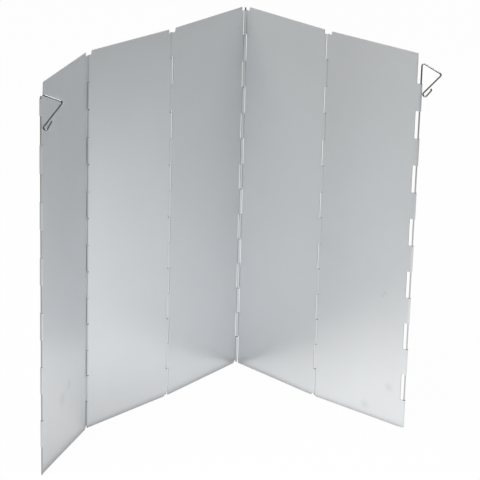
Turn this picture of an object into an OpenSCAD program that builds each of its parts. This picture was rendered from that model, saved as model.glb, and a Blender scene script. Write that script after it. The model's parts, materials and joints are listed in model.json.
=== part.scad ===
// Folding stove windscreen: five aluminium panels joined edge to edge by
// rolled knuckles on steel wire, with a bent wire clasp on each free edge.
// Millimetres. +X is left to right, +Y is away from the stove side, +Z is up.

/* [Panels] */
// Height of a panel
panel_h = 500; // [300:1:600]
// Width of a panel between the feet of its two hinge axes
panel_w = 145; // [110:1:180]
// Thickness of the sheet
sheet_t = 0.7; // [0.5:0.05:0.9]

/* [Knuckles] */
// Diameter of the hinge wire
wire_d = 2; // [1.6:0.1:2.2]
// Radial running clearance of the wire in a knuckle
run_clear = 0.05; // [0.02:0.01:0.1]
// Knuckle places along one hinge
knuckle_places = 14; // [8:2:20]
// Plain strip above the first knuckle place and below the last
end_strip = 3; // [1:0.5:6]
// Gap under every other knuckle, where the end play shows
wide_gap = 1.3; // [0.6:0.1:2]
// Gap under the knuckles in between
narrow_gap = 0.4; // [0.2:0.1:0.6]
// Angle of the curl that is left open beside the sheet
seam_angle = 70; // [50:1:80]
// Clearance cut beside a neighbour's knuckle, measured from the hinge axis
relief = 2.4; // [2.3:0.1:5]
// Clearance cut on the right free edge
wide_relief = 5.2; // [4:0.1:8]

/* [Corners] */
// Depth of the notch at the top of a hinge
notch_depth = 5; // [3:0.5:10]
// Half width of that notch at its floor
notch_half = 5.5; // [5:0.1:9]
// Lean of the notch side on a panel's left corner
notch_lean = 1.5; // [0:0.1:4]
// Chamfer on a panel's lower right corner at a hinge
corner_cut = 2.5; // [1:0.1:6]
// Height of the lowest right free knuckle above the floor
free_foot = 0.5; // [0.2:0.1:2]
// Distance of the first left knuckle below the top edge, which clears the clasp
clasp_notch = 17; // [15:0.5:25]
// Half width of the notch at the left free corner
clasp_cut = 9; // [5:0.5:12]

/* [Pins] */
// Height of the wire ends above the floor
wire_foot = 1; // [0.5:0.1:3]
// Length of a hinge pin above its first knuckle
pin_proud = 0.5; // [0.2:0.1:3]
// Length of the third hinge pin above its first knuckle
tall_pin_proud = 4; // [0.2:0.1:5]

/* [Clasps] */
// Distance of a clasp's top below the top edge
clasp_drop = 12.5; // [12:0.5:14]
// Reach of a clasp from its rod
clasp_reach = 24.5; // [18:0.5:32]
// Fall of the left clasp's upper arm, in degrees below level
arm_fall = 19; // [10:1:30]
// Slope of the left clasp's return leg, in degrees below level
leg_slope = 54; // [45:1:65]
// Fall of the right clasp's upper arm
right_arm_fall = 25; // [10:1:30]
// Slope of the right clasp's return leg
right_leg_slope = 50; // [45:1:65]
// Bend radius where the rod turns into the arm
top_bend = 3; // [2:0.1:4]
// Bend radius at the outer end of the arm
tip_bend = 2.2; // [1.5:0.1:3]
// Bend radius of a hook
hook_bend = 2.6; // [2.4:0.1:3]
// Turn of the left hook, which stays open
hook_turn = 190; // [180:1:195]
// Straight end of the left hook
hook_end = 10.8; // [4:0.1:12]
// Turn of the right hook, which closes on its leg
right_hook_turn = 183; // [180:1:184]
// Straight run of the right hook
right_hook_run = 8.8; // [6:0.1:12]
// Turn of the right hook's closing end
close_turn = 84; // [70:1:90]
// Bend radius of that closing end
close_bend = 1.6; // [1.3:0.1:1.7]
// Space between a hook and a knuckle, and between the closing end and the leg
hook_clear = 0.4; // [0.3:0.1:2]
// Growth of the wire's diameter in a bend
bend_swell = 0.02; // [0.01:0.01:0.05]
// Length of a straight run inside its bend
bend_lap = 0.1; // [0.05:0.01:0.15]

/* [Pose] */
// Bearing of the middle panel from +X
middle_bearing = 52; // [30:0.5:70]
// Fold at the first hinge from the left, from flat towards its knuckles
fold_1 = 24; // [0:0.5:120]
// Fold at the second hinge
fold_2 = 4.5; // [0:0.5:60]
// Fold at the third hinge
fold_3 = 97; // [40:0.5:120]
// Fold at the fourth hinge
fold_4 = 5.5; // [0:0.5:60]
// Bearing of the left clasp from +X
left_clasp_bearing = 0; // [-60:1:20]
// Bearing of the right clasp from +X
right_clasp_bearing = -21; // [-60:1:60]

/* [Hidden] */
$fn = 64;
knuckle_bore = wire_d / 2 + run_clear;
knuckle_r = knuckle_bore + sheet_t;
// Distance of a hinge axis from the middle of the sheet
axis_off = knuckle_r - sheet_t / 2;
// Radius of the clasp wire in a bend
bend_r = (wire_d + bend_swell) / 2;
place_pitch = (panel_h - 2 * end_strip) / knuckle_places;

// Side of the sheet that each axis lies on, left to right: 1 is the back, -1 the stove side
axis_side = [-1, -1, 1, -1, 1, 1];
folds = [fold_1, fold_2, fold_3, fold_4];
// Knuckles with the wide gap under them on each axis: 1 is the odd ones, 0 the even ones
wide_gap_row = [-1, 0, 1, 1, 1, -1];
right_relief = [relief, relief, relief, relief, wide_relief];
right_cut = [corner_cut, corner_cut, corner_cut, corner_cut, 0];

aluminium = [0.8, 0.81, 0.82];
steel = [0.45, 0.46, 0.48];

// Turn from one panel to the next at a hinge, anticlockwise from above
function turn(hinge) = axis_side[hinge] * folds[hinge - 1];

first_bearing = middle_bearing - turn(2) - turn(1);
function bearing(panel) = panel == 0 ? first_bearing : bearing(panel - 1) + turn(panel);

function along(angle) = [cos(angle), sin(angle)];
function back_of(angle) = [-sin(angle), cos(angle)];

// Plan of the hinge axes, first from the left free edge and then about the origin
function panel_step(panel) =
    panel_w * along(bearing(panel))
    + (axis_side[panel + 1] - axis_side[panel]) * axis_off * back_of(bearing(panel));
function chain_axis(i) = i == 0 ? [0, 0] : chain_axis(i - 1) + panel_step(i - 1);

left_reach = chain_axis(0).x - knuckle_r;
right_reach = chain_axis(5).x + clasp_reach * cos(right_clasp_bearing) + bend_r;
front_reach = chain_axis(0).y - knuckle_r;
back_reach = chain_axis(3).y + knuckle_r;
plan_middle = [(left_reach + right_reach) / 2, (front_reach + back_reach) / 2];
function axis_at(i) = chain_axis(i) - plan_middle;

// Places are counted from the top. Left edges hold the odd ones, right edges the even ones.
function place_top(place) = panel_h - end_strip - (place - 1) * place_pitch;
function knuckle_top(place, axis) =
    place > 1 ? place_top(place) : panel_h - (axis == 0 ? clasp_notch : notch_depth);
function knuckle_foot(place, axis) =
    place == knuckle_places && axis == 5 ? free_foot
    : place_top(place + 1) + (place % 2 == wide_gap_row[axis] ? wide_gap : narrow_gap);

// Section of a left edge's curl and its flat tab, with the hinge axis at the origin and in the back
module curl_section(flat) {
    far = 2 * knuckle_r;
    difference() {
        circle(knuckle_r);
        circle(knuckle_bore);
        polygon([[0, 0], far * along(seam_angle - 90), [far, -far], [0, -far]]);
    }
    translate([0, -knuckle_r])
        square([flat, sheet_t]);
}

// Knuckles of one edge, with the foot of its axis at the origin
module knuckle_row(first_place, axis, flat) {
    for (place = [first_place : 2 : knuckle_places]) {
        foot = knuckle_foot(place, axis);
        translate([0, 0, foot])
            linear_extrude(height = knuckle_top(place, axis) - foot)
                mirror([0, axis_side[axis] < 0 ? 1 : 0])
                    translate([0, axis_off])
                        curl_section(flat);
    }
}

// Flat sheet between the clearance cuts of its two edges, standing on the floor
module sheet(panel) {
    left = relief;
    right = panel_w - right_relief[panel];
    cut = right_cut[panel];
    notch_left = max(left, panel == 0 ? clasp_cut : notch_half);
    notch_right = min(right, panel_w - notch_half);
    left_floor = knuckle_top(1, panel);
    right_floor = panel_h - notch_depth;
    rotate([90, 0, 0])
        translate([0, 0, -sheet_t / 2])
            linear_extrude(height = sheet_t)
                polygon(concat(
                    [[left, 0]],
                    cut > 0 ? [[right - cut, 0], [right, cut]] : [[right, 0]],
                    [
                        [right, right_floor],
                        [notch_right, right_floor],
                        [notch_right, panel_h],
                        [notch_left + notch_lean, panel_h],
                        [notch_left, left_floor],
                        [left, left_floor]
                    ]
                ));
}

module panel(i) {
    foot = axis_at(i) - axis_side[i] * axis_off * back_of(bearing(i));
    translate([foot.x, foot.y, 0])
        rotate([0, 0, bearing(i)]) {
            sheet(i);
            knuckle_row(1, i, relief + sheet_t);
            translate([panel_w, 0, 0])
                mirror([1, 0, 0])
                    knuckle_row(2, i + 1, right_relief[i] + sheet_t);
        }
}

module left_end_panel() {
    color(aluminium) panel(0);
}

module left_panel() {
    color(aluminium) panel(1);
}

module middle_panel() {
    color(aluminium) panel(2);
}

module right_panel() {
    color(aluminium) panel(3);
}

module right_end_panel() {
    color(aluminium) panel(4);
}

// Straight wire through all the knuckles of one hinge
module hinge_pin(hinge, proud) {
    color(steel)
        translate([axis_at(hinge).x, axis_at(hinge).y, wire_foot])
            cylinder(d = wire_d, h = knuckle_top(1, hinge) + proud - wire_foot);
}

module hinge_pin_1() {
    hinge_pin(1, pin_proud);
}

module hinge_pin_2() {
    hinge_pin(2, pin_proud);
}

module hinge_pin_3() {
    hinge_pin(3, tall_pin_proud);
}

module hinge_pin_4() {
    hinge_pin(4, pin_proud);
}

// Wire that runs along +Z and bends in the XZ plane. Each run is its length,
// its turn towards +X in degrees and its bend radius; the last run ends straight.
module bent_wire(runs, i = 0) {
    length = runs[i][0];
    lead = i > 0 ? bend_lap : 0;
    tail = i < len(runs) - 1 ? bend_lap : 0;
    translate([0, 0, -lead])
        cylinder(d = wire_d, h = lead + length + tail);
    if (i < len(runs) - 1) {
        angle = abs(runs[i][1]);
        radius = runs[i][2];
        translate([0, 0, length])
            mirror([runs[i][1] < 0 ? 1 : 0, 0, 0]) {
                translate([radius, 0, 0])
                    rotate([90, 0, 0])
                        rotate([0, 0, 180 - angle])
                            rotate_extrude(angle = angle)
                                translate([radius, 0])
                                    circle(d = wire_d + bend_swell);
                translate([radius * (1 - cos(angle)), 0, radius * sin(angle)])
                    rotate([0, angle, 0])
                        mirror([runs[i][1] < 0 ? 1 : 0, 0, 0])
                            bent_wire(runs, i + 1);
            }
    }
}

// Runs of a clasp: the rod turns over into a falling arm, a leg that comes back to the rod, and a hook
clasp_top = panel_h - clasp_drop;
rod_run = clasp_top - top_bend - wire_foot;
hook_side = knuckle_r + hook_clear + bend_r;
function arm_run(fall) =
    (clasp_reach - tip_bend * (1 - sin(fall)) - top_bend * (1 + sin(fall))) / cos(fall);
function leg_run(slope) =
    (clasp_reach - hook_side - (tip_bend + hook_bend) * (1 - sin(slope))) / cos(slope);
function clasp_runs(fall, slope) = [
    [rod_run, 90 + fall, top_bend],
    [arm_run(fall), 180 - slope - fall, tip_bend]
];

// Straight end that leaves the right hook clear of its leg
hook_lean = right_hook_turn - 180;
close_room =
    hook_bend * (1 + cos(hook_lean)) - right_hook_run * sin(hook_lean)
    - close_bend * (cos(hook_lean) - cos(hook_lean + close_turn)) - 2 * bend_r - hook_clear;
close_end = max(0.2, close_room);

module clasp_rod(axis, clasp_bearing, runs) {
    color(steel)
        translate([axis_at(axis).x, axis_at(axis).y, wire_foot])
            rotate([0, 0, clasp_bearing])
                bent_wire(runs);
}

module left_clasp_rod() {
    clasp_rod(0, left_clasp_bearing, concat(
        clasp_runs(arm_fall, leg_slope),
        [[leg_run(leg_slope), -hook_turn, hook_bend], [hook_end]]
    ));
}

module right_clasp_rod() {
    clasp_rod(5, right_clasp_bearing, concat(
        clasp_runs(right_arm_fall, right_leg_slope),
        [
            [leg_run(right_leg_slope), -right_hook_turn, hook_bend],
            [right_hook_run, -close_turn, close_bend],
            [close_end]
        ]
    ));
}

left_end_panel();
left_panel();
middle_panel();
right_panel();
right_end_panel();
hinge_pin_1();
hinge_pin_2();
hinge_pin_3();
hinge_pin_4();
left_clasp_rod();
right_clasp_rod();
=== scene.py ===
"""A folding stove windscreen: rolled aluminium panels on hinge wires, with wire clasps."""

import json
import math

import bmesh
import bpy
from mathutils import Matrix, Vector, noise


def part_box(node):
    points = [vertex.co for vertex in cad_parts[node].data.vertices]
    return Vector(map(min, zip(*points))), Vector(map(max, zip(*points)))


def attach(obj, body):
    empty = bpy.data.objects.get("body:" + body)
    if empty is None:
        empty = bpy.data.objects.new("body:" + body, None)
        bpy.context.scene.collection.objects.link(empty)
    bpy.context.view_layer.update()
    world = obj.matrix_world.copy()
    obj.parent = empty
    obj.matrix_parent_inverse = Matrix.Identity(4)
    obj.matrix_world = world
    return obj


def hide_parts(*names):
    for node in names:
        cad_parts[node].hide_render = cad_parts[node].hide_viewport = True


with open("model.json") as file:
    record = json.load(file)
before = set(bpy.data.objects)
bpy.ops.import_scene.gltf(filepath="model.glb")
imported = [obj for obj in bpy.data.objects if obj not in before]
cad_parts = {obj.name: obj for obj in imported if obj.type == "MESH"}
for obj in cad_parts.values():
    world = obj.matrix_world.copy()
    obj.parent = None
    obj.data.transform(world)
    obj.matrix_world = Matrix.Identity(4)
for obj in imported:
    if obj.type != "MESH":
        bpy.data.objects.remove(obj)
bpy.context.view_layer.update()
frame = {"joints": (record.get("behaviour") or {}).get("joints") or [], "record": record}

# Hinge lines
# Six upright wires hold the screen together: one down each free edge and one down each
# hinge. The joints of the frame say where they stand.
mm = 0.001
joint_at = {joint["name"]: Vector(joint["pos_m"]) for joint in frame["joints"]}
line_joints = (
    "left_clasp_swing",
    "hinge_1_fold",
    "hinge_2_fold",
    "hinge_3_fold",
    "hinge_4_fold",
    "right_clasp_swing",
)
hinge_lines = [joint_at[name] for name in line_joints]
last_line = len(hinge_lines) - 1
bodies = frame["record"]["behaviour"]["bodies"]
body_of_node = {node: body for body, nodes in bodies.items() for node in nodes}

# Panels
# Five blanks of mill-finish aluminium sheet. Tabs along both upright edges are rolled round
# the hinge wire into knuckles, on the stove side or the back as each hinge line has it.
panel_nodes = ("left_end_panel", "left_panel", "middle_panel", "right_panel", "right_end_panel")
panel_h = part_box("middle_panel")[1].z
sheet_t = 0.7 * mm
wire_d = 2 * mm
run_clear = 0.05 * mm
axis_off = wire_d / 2 + run_clear + sheet_t / 2
# Where each line's knuckles are rolled: -1 is the stove side, 1 the back
line_side = (-1, -1, 1, -1, 1, 1)

knuckle_places = 14
end_strip = 3 * mm
wide_gap = 1.3 * mm
narrow_gap = 0.4 * mm
# Places with the wide gap under their knuckle, for each line: 0 even, 1 odd, -1 none
wide_gap_under = (-1, 0, 1, 1, 1, -1)
# Part of a curl that is left open beside the sheet
seam_angle = math.radians(60)
relief = 2.4 * mm
wide_relief = 5.2 * mm
right_relief = (relief, relief, relief, relief, wide_relief)
notch_depth = 5 * mm
notch_half = 5.5 * mm
notch_lean = 1.5 * mm
corner_cut = 2.5 * mm
right_cut = (corner_cut, corner_cut, corner_cut, corner_cut, 0)
free_foot = 0.5 * mm
clasp_notch = 17 * mm
clasp_cut = 9 * mm
left_notch = (clasp_notch, notch_depth, notch_depth, notch_depth, notch_depth)
left_notch_half = (clasp_cut, notch_half, notch_half, notch_half, notch_half)

sheet_columns = 12
curl_steps = 29
ripple = 0.12 * mm
ripple_length = 110 * mm
ripple_fade = 25 * mm
edge_break = 0.1 * mm
edge_break_from = math.radians(50)
hair = 0.001 * mm

sheet_dark = (0.79, 0.813, 0.836)
sheet_light = (0.835, 0.857, 0.876)
# Tints of the cut edge, darkened with painted shade beyond the cut's own duller metal
cut_edge_shade_dark = (0.24, 0.25, 0.26)
cut_edge_shade_light = (0.38, 0.39, 0.4)
rolling_stretch = 0.012
rolling_depth = 0.02 * mm
smudge_grey = (0.64, 0.65, 0.655)
# Middle of each smudge, and how far it reaches
smudges = (
    ((0.1815, 0.0115, 0.1715), 3 * mm),
    ((0.1845, 0.009, 0.177), 3.5 * mm),
    ((0.1948, 0.0005, 0.0492), 8 * mm),
    ((0.1663, 0.024, 0.014), 9 * mm),
    ((-0.216, -0.1154, 0.0738), 12 * mm),
    ((-0.2098, -0.0967, 0.0856), 9 * mm),
    ((-0.0101, 0.1721, 0.4734), 3 * mm),
)


def add_node(tree, kind, inputs=None, **settings):
    """Adds a shader node. An input given a socket is linked to it, any other is set.

    Inputs go by name, or by number where a node has several of one name.
    """
    new = tree.nodes.new(kind)
    for name, value in settings.items():
        setattr(new, name, value)
    for name, value in (inputs or {}).items():
        if isinstance(value, bpy.types.NodeSocket):
            tree.links.new(value, new.inputs[name])
        else:
            new.inputs[name].default_value = value
    return new


def new_material(name):
    """Gives a node material, its tree and its Principled shader."""
    material = bpy.data.materials.new(name)
    material.use_nodes = True
    return material, material.node_tree, material.node_tree.nodes["Principled BSDF"]


def mixed_colour(tree, factor, dark, light):
    """A colour between two others, by a factor. Each is a socket or red, green and blue."""
    mix = add_node(tree, "ShaderNodeMix", {"Factor": factor}, data_type="RGBA")
    ends = [socket for socket in mix.inputs if socket.type == "RGBA"]
    for socket, colour in zip(ends, (dark, light)):
        if isinstance(colour, bpy.types.NodeSocket):
            tree.links.new(colour, socket)
        else:
            socket.default_value = (*colour, 1)
    return next(socket for socket in mix.outputs if socket.type == "RGBA")


def nearness(tree, spots):
    """A factor that is 1 within the core of any spot and falls to 0 at its reach.

    Each spot is a socket with the point in question, the spot's middle, its core and its reach.
    """
    most = 0
    for place, middle, core, reach in spots:
        away = add_node(tree, "ShaderNodeVectorMath", {0: place, 1: middle}, operation="DISTANCE")
        span = {"From Min": core, "From Max": reach, "To Min": 1, "To Max": 0}
        near = add_node(tree, "ShaderNodeMapRange", {"Value": away.outputs["Value"], **span})
        pair = {0: most, 1: near.outputs["Result"]}
        most = add_node(tree, "ShaderNodeMath", pair, operation="MAXIMUM").outputs["Value"]
    return most


def handling_marks(tree, place):
    """How far each point is marked: patchy within a smudge, 0 on clean sheet."""
    marked = nearness(tree, [(place, spot, 0, reach) for spot, reach in smudges])
    patchy = add_node(tree, "ShaderNodeTexNoise", {"Vector": place, "Scale": 420, "Detail": 3})
    pair = {0: marked, 1: patchy.outputs["Fac"]}
    return add_node(tree, "ShaderNodeMath", pair, operation="MULTIPLY").outputs["Value"]


def rolled_aluminium():
    """Satin sheet: fine upright rolling lines, a cloudy haze and a few smudges."""
    material, tree, shader = new_material("rolled_aluminium")
    place = add_node(tree, "ShaderNodeTexCoord").outputs["Object"]
    stretch = {"Vector": place, "Scale": (1, 1, rolling_stretch)}
    drawn_out = add_node(tree, "ShaderNodeMapping", stretch)
    lines = add_node(
        tree,
        "ShaderNodeTexNoise",
        {"Vector": drawn_out.outputs["Vector"], "Scale": 1500, "Detail": 3},
    )
    haze = add_node(
        tree, "ShaderNodeTexNoise", {"Vector": place, "Scale": 11, "Detail": 5, "Roughness": 0.6}
    )
    clean = mixed_colour(tree, haze.outputs["Fac"], sheet_dark, sheet_light)
    tint = mixed_colour(tree, handling_marks(tree, place), clean, smudge_grey)
    tree.links.new(tint, shader.inputs["Base Color"])
    gloss = add_node(
        tree,
        "ShaderNodeMapRange",
        {"Value": lines.outputs["Fac"], "To Min": 0.28, "To Max": 0.36},
    )
    tree.links.new(gloss.outputs["Result"], shader.inputs["Roughness"])
    grain = add_node(
        tree,
        "ShaderNodeBump",
        {"Height": lines.outputs["Fac"], "Strength": 0.25, "Distance": rolling_depth},
    )
    tree.links.new(grain.outputs["Normal"], shader.inputs["Normal"])
    shader.inputs["Metallic"].default_value = 0.86
    return material


def sheared_edge():
    """The sheet's cut edge: duller than its rolled faces, and darkened with painted shade."""
    material, tree, shader = new_material("sheared_edge")
    place = add_node(tree, "ShaderNodeTexCoord").outputs["Object"]
    tear = add_node(tree, "ShaderNodeTexNoise", {"Vector": place, "Scale": 2600, "Detail": 2})
    # The dark tint of the cut edge is painted shade
    tint = mixed_colour(tree, tear.outputs["Fac"], cut_edge_shade_dark, cut_edge_shade_light)
    tree.links.new(tint, shader.inputs["Base Color"])
    shader.inputs["Metallic"].default_value = 1
    shader.inputs["Roughness"].default_value = 0.5
    return material


def place_top(place):
    """Top of a knuckle place. Places are counted down from the top."""
    pitch = (panel_h - 2 * end_strip) / knuckle_places
    return panel_h - end_strip - (place - 1) * pitch


def knuckle_spans(line, first):
    """Foot and top of each knuckle that one edge rolls round a hinge line."""
    spans = []
    for place in range(first, knuckle_places + 1, 2):
        top = place_top(place)
        if place == 1:
            top = panel_h - left_notch[line]
        gap = wide_gap if place % 2 == wide_gap_under[line] else narrow_gap
        foot = place_top(place + 1) + gap
        if place == knuckle_places and line == last_line:
            foot = free_foot
        spans.append((foot, top))
    return spans


def panel_place(panel):
    """Width of a panel, and the matrix that stands it between its two hinge lines."""
    span = hinge_lines[panel + 1] - hinge_lines[panel]
    across = (line_side[panel + 1] - line_side[panel]) * axis_off
    width = math.sqrt(span.length_squared - across**2)
    bearing = math.atan2(span.y, span.x) - math.atan2(across, width)
    stand = Matrix.Translation(hinge_lines[panel]) @ Matrix.Rotation(bearing, 4, "Z")
    return width, stand @ Matrix.Translation((0, -line_side[panel] * axis_off, 0))


def cut_blank(bm, panel, left, right, width, rows):
    """Cuts a panel's flat blank, on the middle of the sheet, and scores it into a grid."""
    cut = right_cut[panel]
    notch_left = left_notch_half[panel]
    left_floor = panel_h - left_notch[panel]
    right_floor = panel_h - notch_depth
    notch_right = min(right, width - notch_half)
    corners = [
        (left, 0),
        (right - cut, 0),
        (right, cut),
        (right, right_floor),
        (notch_right, right_floor),
        (notch_right, panel_h),
        (notch_left + notch_lean, panel_h),
        (notch_left, left_floor),
        (left, left_floor),
    ]
    outline = [corner for at, corner in enumerate(corners) if corner != corners[at - 1]]
    bm.faces.new([bm.verts.new((x, 0, z)) for x, z in outline])
    columns = [left + (right - left) * column / sheet_columns for column in range(1, sheet_columns)]
    scores = [((0, 0, z), (0, 0, 1)) for z in rows] + [((x, 0, 0), (1, 0, 0)) for x in columns]
    for spot, normal in scores:
        bmesh.ops.bisect_plane(
            bm,
            geom=bm.verts[:] + bm.edges[:] + bm.faces[:],
            dist=hair,
            plane_co=spot,
            plane_no=normal,
        )


def ripple_sheet(bm, left, right, seed):
    """Lets the sheet wander a hair out of flat between its stiff rolled edges."""
    for vert in bm.verts:
        inside = min(vert.co.x - left, right - vert.co.x)
        free = min(max(inside / ripple_fade, 0), 1)
        spot = Vector((vert.co.x, seed * panel_h, vert.co.z)) / ripple_length
        vert.co.y += ripple * free * noise.noise(spot)


def roll_tabs(bm, edge_x, foot_x, spans, side):
    """Draws tabs out from an edge and rolls each round its hinge line into a knuckle."""
    tabs = []
    for edge in bm.edges:
        middle = sum(vert.co.z for vert in edge.verts) / 2
        on_edge = all(abs(vert.co.x - edge_x) < hair for vert in edge.verts)
        if on_edge and any(foot < middle < top for foot, top in spans):
            tabs.append(edge)
    drawn = bmesh.ops.extrude_edge_only(bm, edges=tabs)["geom"]
    ends = [item for item in drawn if isinstance(item, bmesh.types.BMVert)]
    rims = [item for item in drawn if isinstance(item, bmesh.types.BMEdge)]
    bmesh.ops.translate(bm, verts=ends, vec=(foot_x - edge_x, 0, 0))
    rims = [edge for edge in rims if all(vert in ends for vert in edge.verts)]
    bmesh.ops.spin(
        bm,
        geom=ends + rims,
        cent=(foot_x, side * axis_off, 0),
        axis=(0, 0, 1),
        angle=math.copysign(math.tau - seam_angle, side * (foot_x - edge_x)),
        steps=curl_steps,
    )


def new_piece(name, bm, materials, node):
    """Makes a smooth mesh object that stands for a node and rides on its body."""
    for face in bm.faces:
        face.smooth = True
    mesh = bpy.data.meshes.new(name)
    bm.to_mesh(mesh)
    bm.free()
    for material in materials:
        mesh.materials.append(material)
    piece = bpy.data.objects.new(name, mesh)
    bpy.context.scene.collection.objects.link(piece)
    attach(piece, body_of_node[node])
    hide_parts(node)
    return piece


def rolled_panel(panel, materials):
    """One panel: blank, ripple, knuckles, then the thickness of the sheet."""
    width, stand = panel_place(panel)
    left = relief
    right = width - right_relief[panel]
    left_spans = knuckle_spans(panel, 1)
    right_spans = knuckle_spans(panel + 1, 2)
    rows = sorted({z for span in left_spans + right_spans for z in span})
    bm = bmesh.new()
    cut_blank(bm, panel, left, right, width, rows)
    ripple_sheet(bm, left, right, panel)
    roll_tabs(bm, left, 0, left_spans, line_side[panel])
    roll_tabs(bm, right, width, right_spans, line_side[panel + 1])
    bmesh.ops.recalc_face_normals(bm, faces=bm.faces)
    bmesh.ops.transform(bm, matrix=stand, verts=bm.verts)
    node = panel_nodes[panel]
    piece = new_piece(node + "_sheet", bm, materials, node)
    wall = piece.modifiers.new("sheet_thickness", "SOLIDIFY")
    wall.thickness = sheet_t
    wall.offset = 0
    wall.use_even_offset = True
    wall.use_quality_normals = True
    wall.material_offset_rim = 1
    rim = piece.modifiers.new("edge_break", "BEVEL")
    rim.width = edge_break
    rim.segments = 2
    rim.limit_method = "ANGLE"
    rim.angle_limit = edge_break_from
    rim.harden_normals = True


sheet_materials = [rolled_aluminium(), sheared_edge()]
for panel in range(len(panel_nodes)):
    rolled_panel(panel, sheet_materials)

# Hinge pins
# Four straight lengths of drawn steel wire, cropped to length and dropped down through the
# interleaved knuckles of two panels.
wire_sides = 28
crop_round = 0.3 * mm
bend_step = math.radians(9)
# Steel tints: the darker pair is painted shade on the clasps, the lighter pair painted reflection
# on the pins and rods
painted_shade_steel_dark = (0.19, 0.19, 0.192)
painted_shade_steel_light = (0.27, 0.27, 0.272)
painted_reflection_steel_dark = (0.5, 0.5, 0.505)
painted_reflection_steel_light = (0.62, 0.62, 0.625)
# Distance from a hinge line within which the wire takes painted reflection, a lighter tint, and
# where that ends
painted_reflection_core = 1.2 * mm
painted_reflection_reach = 2 * mm
# The same from the foot of the right rod, which takes painted shade, a darker tint, from inside its
# top knuckle upwards
right_painted_reflection_core = 440 * mm
right_painted_reflection_reach = 444 * mm


def drawn_steel():
    """Hard wire, lighter on the pins and rods with painted reflection, and darker at the clasps
    with painted shade.
    """
    material, tree, shader = new_material("drawn_steel")
    place = add_node(tree, "ShaderNodeTexCoord").outputs["Object"]
    marks = add_node(tree, "ShaderNodeTexNoise", {"Vector": place, "Scale": 900, "Detail": 4})
    # Painted shade for the clasps and painted reflection for the pins and rods, as two tints of the
    # same steel
    painted_shade_steel = mixed_colour(tree, marks.outputs["Fac"], painted_shade_steel_dark, painted_shade_steel_light)
    painted_reflection_steel = mixed_colour(tree, marks.outputs["Fac"], painted_reflection_steel_dark, painted_reflection_steel_light)
    flat = {"Vector": place, "Scale": (1, 1, 0)}
    plan = add_node(tree, "ShaderNodeMapping", flat).outputs["Vector"]
    # Where the painted reflection goes: round each pin and the left rod, and up the right rod to
    # inside its top knuckle
    painted_reflection_spans = [(plan, line, painted_reflection_core, painted_reflection_reach) for line in hinge_lines[:last_line]]
    painted_reflection_spans.append((place, hinge_lines[last_line], right_painted_reflection_core, right_painted_reflection_reach))
    tint = mixed_colour(tree, nearness(tree, painted_reflection_spans), painted_shade_steel, painted_reflection_steel)
    tree.links.new(tint, shader.inputs["Base Color"])
    gloss = add_node(
        tree,
        "ShaderNodeMapRange",
        {"Value": marks.outputs["Fac"], "To Min": 0.12, "To Max": 0.2},
    )
    tree.links.new(gloss.outputs["Result"], shader.inputs["Roughness"])
    shader.inputs["Metallic"].default_value = 1
    return material


def bent_wire(runs):
    """A wire that starts up +Z and bends in the XZ plane.

    Each run is a straight length, then a turn towards +X and the radius of that bend.
    """
    bm = bmesh.new()
    bmesh.ops.create_circle(bm, segments=wire_sides, radius=wire_d / 2)
    ring = bm.edges[:]
    spot = Vector((0, 0, 0))
    lean = 0
    for length, turn, radius in runs:
        drawn = bmesh.ops.extrude_edge_only(bm, edges=ring)["geom"]
        ends = [item for item in drawn if isinstance(item, bmesh.types.BMVert)]
        step = length * Vector((math.sin(lean), 0, math.cos(lean)))
        bmesh.ops.translate(bm, verts=ends, vec=step)
        spot += step
        ring = [e for e in drawn if isinstance(e, bmesh.types.BMEdge) and set(e.verts) <= set(ends)]
        if turn:
            inward = math.copysign(radius, turn) * Vector((math.cos(lean), 0, -math.sin(lean)))
            centre = spot + inward
            spun = bmesh.ops.spin(
                bm,
                geom=ring,
                cent=centre,
                axis=(0, 1, 0),
                angle=turn,
                steps=math.ceil(abs(turn) / bend_step),
            )["geom_last"]
            ring = [item for item in spun if isinstance(item, bmesh.types.BMEdge)]
            spot = centre + Matrix.Rotation(turn, 3, "Y") @ -inward
            lean += turn
    crops = [edge for edge in bm.edges if edge.is_boundary]
    bmesh.ops.holes_fill(bm, edges=crops)
    bmesh.ops.bevel(
        bm,
        geom=crops,
        offset=crop_round,
        segments=3,
        profile=0.5,
        affect="EDGES",
        material=-1,
    )
    bmesh.ops.recalc_face_normals(bm, faces=bm.faces)
    return bm


steel = drawn_steel()
for number in range(1, last_line):
    node = f"hinge_pin_{number}"
    low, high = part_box(node)
    pin = bent_wire([(high.z - low.z, 0, 0)])
    foot = Vector((hinge_lines[number].x, hinge_lines[number].y, low.z))
    bmesh.ops.translate(pin, verts=pin.verts, vec=foot)
    new_piece(node + "_wire", pin, [steel], node)

# Clasp rods
# The same wire down each free edge. Its top turns over into a falling arm, a leg that comes
# back to the rod and a hook, so that it swings and catches the rod of the other edge.
clasp_reach = 24.5 * mm
top_bend = 3 * mm
tip_bend = 2.2 * mm
hook_bend = 2.6 * mm
hook_clear = 0.4 * mm
hook_side = axis_off + sheet_t / 2 + hook_clear + wire_d / 2

left_bearing = 0
left_fall = math.radians(19)
left_slope = math.radians(54)
left_turn = math.radians(190)
left_end = 10.8 * mm

right_bearing = math.radians(-21)
right_fall = math.radians(25)
right_slope = math.radians(50)
right_turn = math.radians(183)
right_run = 8.8 * mm
close_turn = math.radians(84)
close_bend = 1.6 * mm
close_end = 0.8 * mm


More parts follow.
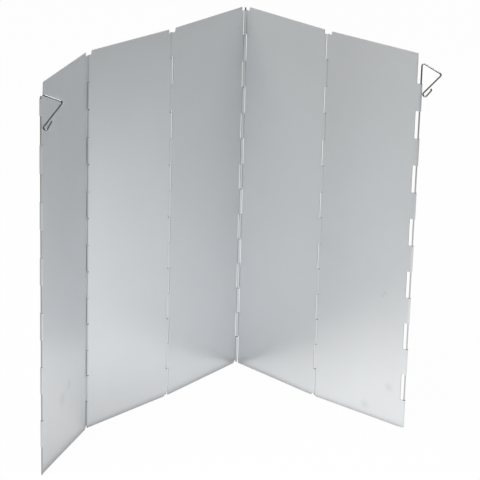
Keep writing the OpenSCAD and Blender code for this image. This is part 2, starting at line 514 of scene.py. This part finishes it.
def clasp_rod(node, line, bearing, fall, slope, hook):
    """A rod with its clasp: the rod, the arm and the leg, then the runs of its hook."""
    low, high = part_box(node)
    arm = clasp_reach - tip_bend * (1 - math.sin(fall)) - top_bend * (1 + math.sin(fall))
    leg = clasp_reach - hook_side - (tip_bend + hook_bend) * (1 - math.sin(slope))
    turn, hook_runs = hook
    rod = bent_wire(
        [
            (high.z - low.z - top_bend - wire_d / 2, math.pi / 2 + fall, top_bend),
            (arm / math.cos(fall), math.pi - slope - fall, tip_bend),
            (leg / math.cos(slope), -turn, hook_bend),
            *hook_runs,
        ]
    )
    turned = Matrix.Rotation(bearing, 4, "Z")
    stand = Matrix.Translation((line.x, line.y, low.z)) @ turned
    bmesh.ops.transform(rod, matrix=stand, verts=rod.verts)
    new_piece(node + "_wire", rod, [steel], node)


left_line = hinge_lines[0]
right_line = hinge_lines[last_line]
open_hook = (left_turn, [(left_end, 0, 0)])
closed_hook = (right_turn, [(right_run, -close_turn, close_bend), (close_end, 0, 0)])
clasp_rod("left_clasp_rod", left_line, left_bearing, left_fall, left_slope, open_hook)
clasp_rod("right_clasp_rod", right_line, right_bearing, right_fall, right_slope, closed_hook)

# Studio
# A white floor that still takes a trace of the screen's shadow, a room that is bright on its
# upper left and dim on the other sides, and soft lamps high at the front left and overhead.
floor_size = 16
floor_grey = (0.5, 0.5, 0.5)
glow_share = 0.97
pool_spot = (0.4, -0.2, 0)
pool_near = 0.4
pool_far = 1
near_white = 0.95
far_white = 0.28
foot_shade = 0.012
window_side = (-0.6, 0.1, 0.8)
window_edge = 0.3
room_dim = 0.06
room_bright = 1.3
room_tint = (0.97, 0.985, 1)


def white_floor():
    """White to the eye, but for a share that is left to take the screen's shadow.

    In reflections it is a pool of light, which greys off all round and at the panels' feet.
    """
    material, tree, shader = new_material("white_floor")
    shader.inputs["Base Color"].default_value = (*floor_grey, 1)
    shader.inputs["Roughness"].default_value = 0.9
    ray = add_node(tree, "ShaderNodeLightPath")
    place = add_node(tree, "ShaderNodeTexCoord").outputs["Object"]
    away = add_node(tree, "ShaderNodeVectorMath", {0: place, 1: pool_spot}, operation="DISTANCE")
    fade = add_node(
        tree,
        "ShaderNodeMapRange",
        {
            "Value": away.outputs["Value"],
            "From Min": pool_near,
            "From Max": pool_far,
            "To Min": near_white,
            "To Max": far_white,
        },
    )
    mirrored = add_node(
        tree,
        "ShaderNodeMath",
        {0: ray.outputs["Is Glossy Ray"], 1: ray.outputs["Is Transmission Ray"]},
        operation="MAXIMUM",
    )
    seen = add_node(
        tree,
        "ShaderNodeMath",
        {0: ray.outputs["Is Camera Ray"], 1: mirrored.outputs["Value"]},
        operation="MAXIMUM",
    )
    share = add_node(
        tree,
        "ShaderNodeMath",
        {0: seen.outputs["Value"], 1: glow_share},
        operation="MULTIPLY",
    )
    shade = add_node(tree, "ShaderNodeAmbientOcclusion", {"Distance": foot_shade})
    pool = add_node(
        tree,
        "ShaderNodeMath",
        {0: fade.outputs["Result"], 1: shade.outputs["AO"]},
        operation="MULTIPLY",
    )
    level = add_node(
        tree,
        "ShaderNodeMath",
        {0: ray.outputs["Is Camera Ray"], 1: pool.outputs["Value"]},
        operation="MAXIMUM",
    )
    glow = add_node(tree, "ShaderNodeEmission", {"Strength": level.outputs["Value"]})
    glow.inputs["Color"].default_value = (1, 1, 1, 1)
    mix = add_node(tree, "ShaderNodeMixShader", {"Fac": share.outputs["Value"]})
    tree.links.new(shader.outputs["BSDF"], mix.inputs[1])
    tree.links.new(glow.outputs["Emission"], mix.inputs[2])
    tree.links.new(mix.outputs["Shader"], tree.nodes["Material Output"].inputs["Surface"])
    return material


floor_bm = bmesh.new()
bmesh.ops.create_grid(floor_bm, x_segments=1, y_segments=1, size=floor_size / 2)
floor_mesh = bpy.data.meshes.new("floor")
floor_bm.to_mesh(floor_mesh)
floor_bm.free()
floor_mesh.materials.append(white_floor())
floor = bpy.data.objects.new("floor", floor_mesh)
bpy.context.scene.collection.objects.link(floor)

room = bpy.data.worlds.new("grey_room")
room.use_nodes = True
sky = room.node_tree
backdrop = sky.nodes["Background"]
direction = add_node(sky, "ShaderNodeTexCoord").outputs["Generated"]
facing = add_node(
    sky,
    "ShaderNodeVectorMath",
    {0: direction, 1: window_side},
    operation="DOT_PRODUCT",
)
brightness = add_node(
    sky,
    "ShaderNodeMapRange",
    {
        "Value": facing.outputs["Value"],
        "From Min": window_edge,
        "To Min": room_dim,
        "To Max": room_bright,
    },
)
backdrop.inputs["Color"].default_value = (*room_tint, 1)
sky.links.new(brightness.outputs["Result"], backdrop.inputs["Strength"])
bpy.context.scene.world = room


def soft_lamp(name, spot, aim, size, power, colour):
    """An oblong softbox at a spot, turned to face another."""
    data = bpy.data.lights.new(name, "AREA")
    data.shape = "RECTANGLE"
    data.size, data.size_y = size
    data.energy = power
    data.color = colour
    lamp = bpy.data.objects.new(name, data)
    turn = (Vector(aim) - Vector(spot)).to_track_quat("-Z", "Y")
    lamp.matrix_world = Matrix.Translation(spot) @ turn.to_matrix().to_4x4()
    bpy.context.scene.collection.objects.link(lamp)


soft_lamp(
    "front_left",
    spot=(-1.4, -1.2, 2),
    aim=(0.1, 0, 0.25),
    size=(1.6, 1.6),
    power=72,
    colour=(1, 0.96, 0.88),
)
soft_lamp(
    "overhead",
    spot=(0.52, -0.3, 2.2),
    aim=(0.52, -0.3, 0),
    size=(0.6, 2),
    power=32,
    colour=(1, 1, 1),
)

# Camera
# A long lens well back, looking down on the open side of the screen, with a slight tilt.
camera_spot = (-0.0017, -2.8947, 1.3543)
camera_pitch = math.radians(20.939)
camera_roll = math.radians(1.562)
sensor_w_mm = 36
lens_mm = 185.13
camera_sees = 100

camera_data = bpy.data.cameras.new("camera")
camera_data.sensor_width = sensor_w_mm
camera_data.lens = lens_mm
camera_data.clip_end = camera_sees
camera = bpy.data.objects.new("camera", camera_data)
aim = Matrix.Rotation(math.pi / 2 - camera_pitch, 4, "X") @ Matrix.Rotation(camera_roll, 4, "Z")
camera.matrix_world = Matrix.Translation(camera_spot) @ aim
bpy.context.scene.collection.objects.link(camera)
bpy.context.scene.camera = camera
bpy.context.scene.view_settings.view_transform = "Standard"
